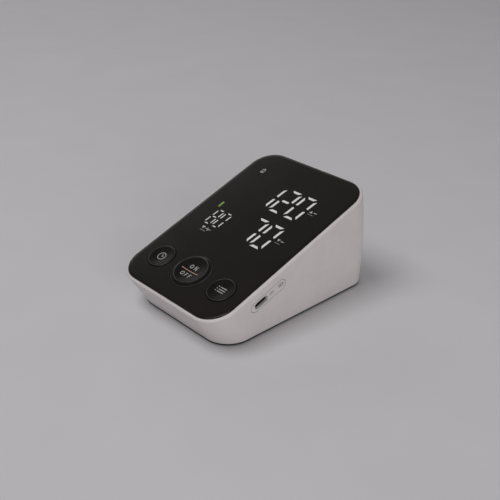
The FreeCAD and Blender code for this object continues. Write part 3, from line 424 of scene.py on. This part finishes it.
def heart(u, v, size):
    """The outline of a plain heart about its middle."""
    outline = []
    for step in range(circle_steps):
        turn = -2 * math.pi * step / circle_steps
        x = 16 * math.sin(turn) ** 3
        y = 13 * math.cos(turn) - 5 * math.cos(2 * turn) - 2 * math.cos(3 * turn) - math.cos(4 * turn)
        outline.append((u + size * x / 32, v + size * (y + 2.5) / 32))
    return outline


def inked(name, thin, thick):
    """Screen-printed ink: slightly starved in places, with the weave of the screen in its surface."""
    material, shader, places = finish(name)
    starved = places.noise(0.6 * mm, detail=3).over(0.35, 0.65)
    starved.tint(thin, thick).feed(shader, "Base Color")
    (starved * 0.15 + 0.45).feed(shader, "Roughness")
    bump(shader, starved, 0.002 * mm)
    return material


ink_pale = inked("ink_pale", srgb(172, 169, 166), srgb(192, 189, 186))
ink_dim = inked("ink_dim", srgb(120, 118, 116), srgb(136, 134, 132))
panel_signs = []
dim_lines = []
high_sign, low_sign = 29.9, 2.9
wedge_left, wedge_tip, wedge_right = 24.3, 25.4, 26.5
dash_left, dash_right, line_right = 27.2, 29.3, 28.2
for v, way in ((high_sign, 1), (low_sign, -1)):
    wedge_base, wedge_top, line_level = v - way * 0.9, v + way * 1.0, v - 2.2
    panel_signs.append([(wedge_left, wedge_base), (wedge_right, wedge_base), (wedge_tip, wedge_top)][::way])
    panel_signs += ribbon([(dash_left, v), (dash_right, v)], width=0.55)
    dim_lines += ribbon([(wedge_left, line_level), (line_right, line_level)], width=0.4)
panel_signs.append(heart(-22.7, -11.4, size=2.3))
pulse_beat = [(-20.9, -11.5), (-19.9, -11.5), (-19.3, -10.5), (-18.6, -12.5), (-18.0, -11.5), (-16.6, -11.5)]
panel_signs += ribbon(pulse_beat, width=0.4)
pulse_line = [(-23.4, -13.6), (-19.2, -13.6)]
dim_lines += ribbon(pulse_line, width=0.5)
battery_case = [(-29.4, 42.7), (-27.5, 42.7), (-27.5, 45.7), (-29.4, 45.7)]
battery_knob = [(-28.9, 46.25), (-28.0, 46.25)]
battery_charge = [(-28.9, 43.6), (-28.0, 43.6)]
panel_signs += ribbon(battery_case, width=0.45, closed=True)
panel_signs += ribbon(battery_knob, width=0.5)
panel_signs += ribbon(battery_charge, width=0.7)
layer("panel_signs", panel_signs, "front_panel", over_panel, ink_pale, "monitor")
layer("panel_lines", dim_lines, "front_panel", over_panel, ink_dim, "monitor")


# Buttons
# Three dished caps in black ABS, polished like the panel, each with a stem over its switch.
# Their brows carry grey rings of painted highlight. The prints are one layer of ink that follows the dish.
button_row = -41.54
start_row = -40.64
side_button = 25.6


def button_finish(name, u, v, highlight_rings):
    """Polished black ABS with grey painted highlights along rings, each given by a radius, a width and a
    share of highlight.
    """
    material, shader, places = finish(name, Specular_IOR_Level=0.13)
    axis = panel_middle + Vector((u, 0, 0)) * mm + panel_slope * (v * mm)
    out = places.node("VectorMath", {"operation": "SUBTRACT"}, {0: places, 1: axis})
    height = out.along(panel_normal)
    reach = out.node("VectorMath", {"operation": "LENGTH"}, {0: out}, 1)
    radius = out.math("SQRT", reach * reach - height * height)
    patches = places.noise(4 * mm, detail=3).over(0.3, 0.75)
    ring_highlight = 0.0
    for ring, width, share in highlight_rings:
        near = radius.math("ABSOLUTE", radius - ring * mm).over(width * mm, 0.0)
        ring_highlight = near * (patches * 0.6 + 0.4) * share + ring_highlight
    black = places.noise(10 * mm, detail=3).over(0.3, 0.7).tint(srgb(22, 19, 18), srgb(27, 23, 22))
    # Painted highlight: the colour goes from black to pale grey along the rings, where the brows would catch
    # light.
    ring_highlight.tint(black, srgb(100, 97, 95)).feed(shader, "Base Color")
    handled = places.noise(6 * mm, detail=5).over(0.45, 0.7)
    (handled * 0.08 + ring_highlight * 0.1 + 0.22).feed(shader, "Roughness")
    bump(shader, places.noise(0.3 * mm), 0.001 * mm)
    return material


# Radius, width and share of each painted highlight ring, in millimetres.
side_highlight_rings = [(7.75, 0.4, 0.6)]
start_highlight_rings = [(9.8, 0.42, 0.85), (11.9, 0.35, 0.75)]
dress(button_finish("set_black", -side_button, button_row, side_highlight_rings), "set_button")
dress(button_finish("mem_black", side_button, button_row, side_highlight_rings), "mem_button")
dress(button_finish("start_black", 0, start_row, start_highlight_rings), "start_button")


def word(letters, v, height, spacing):
    """The outlines of plain capital letters, centred across the button row."""
    widths = {"O": 0.84, "N": 0.74, "F": 0.56}
    stroke = height * 0.15
    total = sum(widths[letter] * height for letter in letters) + spacing * (len(letters) - 1)
    u = -total / 2
    outlines = []
    for letter in letters:
        wide = widths[letter] * height
        left, right, low, high = u + stroke / 2, u + wide - stroke / 2, v - height / 2, v + height / 2
        if letter == "O":
            oval = [(u + wide / 2 + x * (wide - stroke) / 2, v + y * (height - stroke) / 2)
                    for x, y in round_path(0, 0, 1)]
            outlines += ribbon(oval, stroke, closed=True)
        if letter == "N":
            outlines += ribbon([(left, low), (left, high), (right, low), (right, high)], stroke)
        if letter == "F":
            top = high - stroke / 2
            outlines += ribbon([(right, top), (left, top), (left, low)], stroke)
            outlines += ribbon([(left + stroke / 2, v), (right - stroke / 2, v)], stroke)
        u += wide + spacing
    return outlines


letter_height = 2.8
start_words = word("ON", start_row + 2.3, letter_height, spacing=1.3)
start_words += word("OFF", start_row - 4.0, letter_height, spacing=1.2)
layer("start_print", start_words, "start_button", over_panel, ink_pale, "start_button")
ink_orange = inked("ink_orange", srgb(190, 154, 130), srgb(210, 174, 150))
rule_half, rule_level = 6.6, start_row - 0.9
start_rule = ribbon([(-rule_half, rule_level), (rule_half, rule_level)], width=0.38)
layer("start_rule", start_rule, "start_button", over_panel, ink_orange, "start_button")

clock_radius, long_hand, short_hand, clock_stroke = 2.5, 1.6, 1.3, 0.42
clock_hands = [(-side_button, button_row + long_hand), (-side_button, button_row),
               (-side_button + short_hand, button_row)]
clock_sign = ribbon(round_path(-side_button, button_row, clock_radius), clock_stroke, closed=True)
clock_sign += ribbon(clock_hands, clock_stroke)
layer("set_print", clock_sign, "set_button", over_panel, ink_pale, "set_button")
list_half, list_step, list_stroke = 3.2, 1.5, 0.5
list_sign = []
for level in (button_row - list_step, button_row, button_row + list_step):
    list_sign += ribbon([(side_button - list_half, level), (side_button - 2.5, level)], list_stroke)
    list_sign += ribbon([(side_button - 1.6, level), (side_button + list_half, level)], list_stroke)
layer("mem_print", list_sign, "mem_button", over_panel, ink_pale, "mem_button")


# Charging port
# A drawn steel receptacle on the board's edge, bright at its mouth and painted darker deeper in as painted
# shade, round a black moulded tongue.
# The insert beside it carries two small signs in grey ink, for direct current and for charging.
port_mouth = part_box("usb_shell")[1][0]
bright_depth, dark_depth = 0.2 * mm, 0.7 * mm
port_steel, shader, places = finish("port_steel", Metallic=0.3)
drawing = places.stretched(0.1, 1.0, 1.0).noise(0.8 * mm, detail=3)
# Painted shade: the steel's colour goes to black from the mouth inwards, where the receptacle lies in shade.
inside = places.along((1, 0, 0)).over(port_mouth - bright_depth, port_mouth - dark_depth)
bright_steel = drawing.tint(srgb(168, 165, 165), srgb(192, 189, 188))
inside.tint(bright_steel, srgb(12, 12, 12)).feed(shader, "Base Color")
(drawing * 0.16 + 0.42).feed(shader, "Roughness")
bump(shader, drawing, 0.002 * mm)
dress(port_steel, "usb_shell")
tongue_black = moulded("tongue_black", srgb(14, 14, 14), srgb(20, 20, 20),
                       roughness=0.5, grain=0.3 * mm, depth=0.003 * mm)
dress(tongue_black, "usb_tongue")


def over_plate(v, n):
    """A place outside the insert, along the panel's slope and square to it, and the way in."""
    place = middle("port_plate") + panel_slope * (v * mm) + panel_normal * (n * mm)
    return place + Vector((ray_start, 0, 0)), Vector((-1, 0, 0))


ink_grey = inked("ink_grey", srgb(96, 92, 92), srgb(112, 108, 108))
sign_level, sign_stroke = 0.33, 0.35
current_left, current_length, dash_step, dash_length = 0.85, 3.0, 1.15, 0.7
current_right = current_left + current_length
solid_level, dash_level = sign_level + 0.45, sign_level - 0.45
current_sign = ribbon([(current_left, solid_level), (current_right, solid_level)], sign_stroke)
for dash in range(3):
    v = current_left + dash * dash_step
    current_sign += ribbon([(v, dash_level), (v + dash_length, dash_level)], sign_stroke)
charge_left, charge_length = 7.95, 2.9
charge_right = charge_left + charge_length
charge_low, charge_high = sign_level - 0.75, sign_level + 0.75
charge_case = [(charge_left, charge_low), (charge_right, charge_low),
               (charge_right, charge_high), (charge_left, charge_high)]
charge_knob = [(charge_right + 0.5, sign_level - 0.3), (charge_right + 0.5, sign_level + 0.3)]
charge_bar = [(charge_left + 0.6, sign_level), (charge_left + 1.7, sign_level)]
charge_sign = ribbon(charge_case, sign_stroke, closed=True)
charge_sign += ribbon(charge_knob, width=0.4)
charge_sign += ribbon(charge_bar, width=0.6)
layer("port_signs", current_sign + charge_sign, "port_plate", over_plate, ink_grey, "monitor")


# Air socket
# The round socket in the left wall that the cuff's air plug is pushed into, moulded in grey ABS.
# Its flange is welded inside the wall, and its mouth is worn smooth by plugging.
socket_grey = moulded("socket_grey", srgb(104, 104, 106), srgb(118, 118, 120),
                      roughness=0.42, grain=0.5 * mm, depth=0.008 * mm)
dress(socket_grey, "air_socket")


# Feet and screws
# Four soft rubber pads stuck in the cover, and zinc-plated screws with cross slots.
# The rubber is matt and a little dusty; the screws are turned, so their streaks run round.

def drawn_metal(name, dark, light, roughness, streaks):
    """Drawn or rolled metal: fine streaks one way, and a dull bloom in places."""
    material, shader, places = finish(name, Metallic=1.0)
    lines = places.stretched(*streaks).noise(0.8 * mm, detail=3)
    bloom = places.noise(3 * mm, detail=4).over(0.4, 0.7)
    (lines * 0.6 + bloom * 0.4).tint(dark, light).feed(shader, "Base Color")
    (lines * 0.16 + bloom * 0.1 + (roughness - 0.13)).feed(shader, "Roughness")
    bump(shader, lines, 0.002 * mm)
    return material


def rubbery(name, dark, light):
    """Matt rubber: fine pores and a bloom of dust."""
    material, shader, places = finish(name, Specular_IOR_Level=0.3)
    pores = places.noise(0.4 * mm, detail=4)
    dust = places.noise(3 * mm, detail=4).over(0.4, 0.75)
    (dust * 0.7 + pores * 0.3).tint(dark, light).feed(shader, "Base Color")
    (pores * 0.1 + dust * 0.08 + 0.72).feed(shader, "Roughness")
    bump(shader, pores, 0.01 * mm)
    return material


foot_rubber = rubbery("foot_rubber", srgb(34, 34, 35), srgb(52, 51, 50))
dress(foot_rubber, "rubber_feet")
screw_steel = drawn_metal("screw_steel", srgb(150, 150, 152), srgb(196, 196, 196),
                          roughness=0.36, streaks=(1.0, 1.0, 0.2))
dress(screw_steel, "housing_screws", "board_screws", "clamp_screws")


# Switches
# Three tact switches on the board under the buttons: black moulded bodies with white plungers.
# Each plunger is pushed by its button's stem.
plunger_white = moulded("plunger_white", srgb(206, 205, 200), srgb(218, 217, 212),
                        roughness=0.4, grain=0.4 * mm, depth=0.004 * mm)
dress(plunger_white, "set_plunger", "start_plunger", "mem_plunger")
switch_dark = moulded("switch_dark", srgb(36, 36, 38), srgb(46, 46, 48),
                      roughness=0.5, grain=0.4 * mm, depth=0.005 * mm)
dress(switch_dark, "switch_bodies")


# Board and what it carries
# A fibreglass board under green solder mask, with copper lines that show through it in two directions.
# The chips are matt epoxy, the connectors cream nylon, and the board is screwed under the housing's bosses.
board_green, shader, places = finish("board_green", Specular_IOR_Level=0.5)
weave = places.noise(0.4 * mm)
lines_across = places.stretched(0.04, 1.0, 1.0).noise(0.9 * mm, detail=1).over(0.54, 0.56)
lines_along = places.stretched(1.0, 0.04, 0.04).noise(0.9 * mm, detail=1).over(0.54, 0.56)
routed = places.noise(12 * mm, detail=1).over(0.48, 0.52)
copper = lines_across * routed + lines_along * (1 - routed)
mask_green = weave.tint(srgb(16, 74, 42), srgb(22, 88, 52))
copper.tint(mask_green, srgb(46, 120, 70)).feed(shader, "Base Color")
(weave * 0.1 + copper * 0.05 + 0.28).feed(shader, "Roughness")
bump(shader, copper, 0.02 * mm)
dress(board_green, "main_board")
chip_black = moulded("chip_black", srgb(26, 26, 27), srgb(36, 36, 37),
                     roughness=0.6, grain=0.3 * mm, depth=0.006 * mm)
dress(chip_black, "controller_chip", "buzzer")
connector_cream = moulded("connector_cream", srgb(212, 204, 180), srgb(224, 217, 194),
                          roughness=0.42, grain=0.5 * mm, depth=0.004 * mm)
dress(connector_cream, "wire_connectors")


# Display stack
# One light under each segment, a white moulded reflector with a well round it, and a frosted film on top.
# A black foam tape frame holds the panel over them.
led_white, shader, places = finish("led_white")
phosphor = places.noise(0.3 * mm).over(0.35, 0.65)
phosphor.tint(srgb(216, 196, 96), srgb(236, 222, 140)).feed(shader, "Base Color")
(phosphor * 0.1 + 0.3).feed(shader, "Roughness")
dress(led_white, "led_chips")
reflector_white = moulded("reflector_white", srgb(226, 226, 222), srgb(236, 236, 233),
                          roughness=0.5, grain=0.4 * mm, depth=0.004 * mm)
dress(reflector_white, "display_reflector")
film_frost = moulded("film_frost", srgb(206, 207, 208), srgb(218, 219, 220),
                     roughness=0.62, grain=0.2 * mm, depth=0.006 * mm)
dress(film_frost, "display_film")
tape_black = rubbery("tape_black", srgb(22, 22, 22), srgb(32, 32, 32))
dress(tape_black, "panel_tape")


# Air line
# A moulded manifold joins the socket to three soft silicone hoses, pushed over barbs on the sensor,
# the valve and the pump. The mouldings are grey glass-filled nylon.
air_plastic = moulded("air_plastic", srgb(150, 150, 148), srgb(172, 172, 169),
                      roughness=0.5, grain=0.7 * mm, depth=0.01 * mm)
dress(air_plastic, "air_manifold", "pressure_sensor", "valve_body", "pump_cap", "pump_head", "pump_clamp")
hose_silicone, shader, places = finish("hose_silicone", Specular_IOR_Level=0.4)
cloudy = places.noise(4 * mm, detail=4).over(0.3, 0.7)
cloudy.tint(srgb(196, 196, 190), srgb(214, 214, 208)).feed(shader, "Base Color")
(cloudy * 0.1 + 0.38).feed(shader, "Roughness")
bump(shader, places.noise(0.8 * mm, detail=3), 0.006 * mm)
dress(hose_silicone, "pump_hose", "valve_hose", "sensor_hose")


# Pump and valve
# A motor in a rolled steel can turns a crank under a rubber diaphragm; the valve is a coil in a bent frame.
# Plated steel shows its rolling streaks, and enamelled copper wire its turns, with painted shade darkening
# the grooves between them.
yoke_steel = drawn_metal("yoke_steel", srgb(158, 158, 160), srgb(198, 198, 198),
                         roughness=0.34, streaks=(0.08, 1.0, 1.0))
dress(yoke_steel, "valve_frame", "valve_plunger", "pump_motor")
coil_copper, shader, places = finish("coil_copper", Metallic=0.85)
turns = places.node("TexWave", {"bands_direction": "X"},
                    {"Vector": places, "Scale": 1000.0, "Distortion": 0.6})
# Painted shade: the copper is darker in the grooves between turns and brighter on their tops.
turns.tint(srgb(96, 44, 20), srgb(190, 104, 58)).feed(shader, "Base Color")
(0.52 - turns * 0.2).feed(shader, "Roughness")
bump(shader, turns, 0.04 * mm)
dress(coil_copper, "valve_coil", "pump_rotor")
pad_rubber = rubbery("pad_rubber", srgb(40, 39, 39), srgb(56, 55, 54))
dress(pad_rubber, "valve_pad", "pump_diaphragm", "pump_sleeve")
magnet_dark = moulded("magnet_dark", srgb(50, 50, 52), srgb(66, 66, 68),
                      roughness=0.6, grain=0.5 * mm, depth=0.01 * mm)
dress(magnet_dark, "motor_magnets")
crank_plastic = moulded("crank_plastic", srgb(190, 190, 184), srgb(206, 206, 200),
                        roughness=0.4, grain=0.5 * mm, depth=0.004 * mm)
dress(crank_plastic, "pump_crank")


# Cells and contacts
# Four dry cells in plain shrink sleeves, between stamped spring contacts plated with nickel.
# The sleeves are satin, with the faint rings that shrinking leaves.
cell_sleeve, shader, places = finish("cell_sleeve", Specular_IOR_Level=0.5)
shrink_rings = places.stretched(0.1, 1.0, 0.1).noise(2 * mm, detail=3)
shrink_rings.over(0.3, 0.7).tint(srgb(64, 72, 86), srgb(80, 89, 104)).feed(shader, "Base Color")
(shrink_rings * 0.2 + 0.28).feed(shader, "Roughness")
bump(shader, shrink_rings, 0.01 * mm)
dress(cell_sleeve, "battery_cells")
contact_nickel = drawn_metal("contact_nickel", srgb(178, 174, 164), srgb(212, 208, 198),
                             roughness=0.3, streaks=(1.0, 1.0, 0.1))
dress(contact_nickel, "plate_contacts", "bow_contacts")
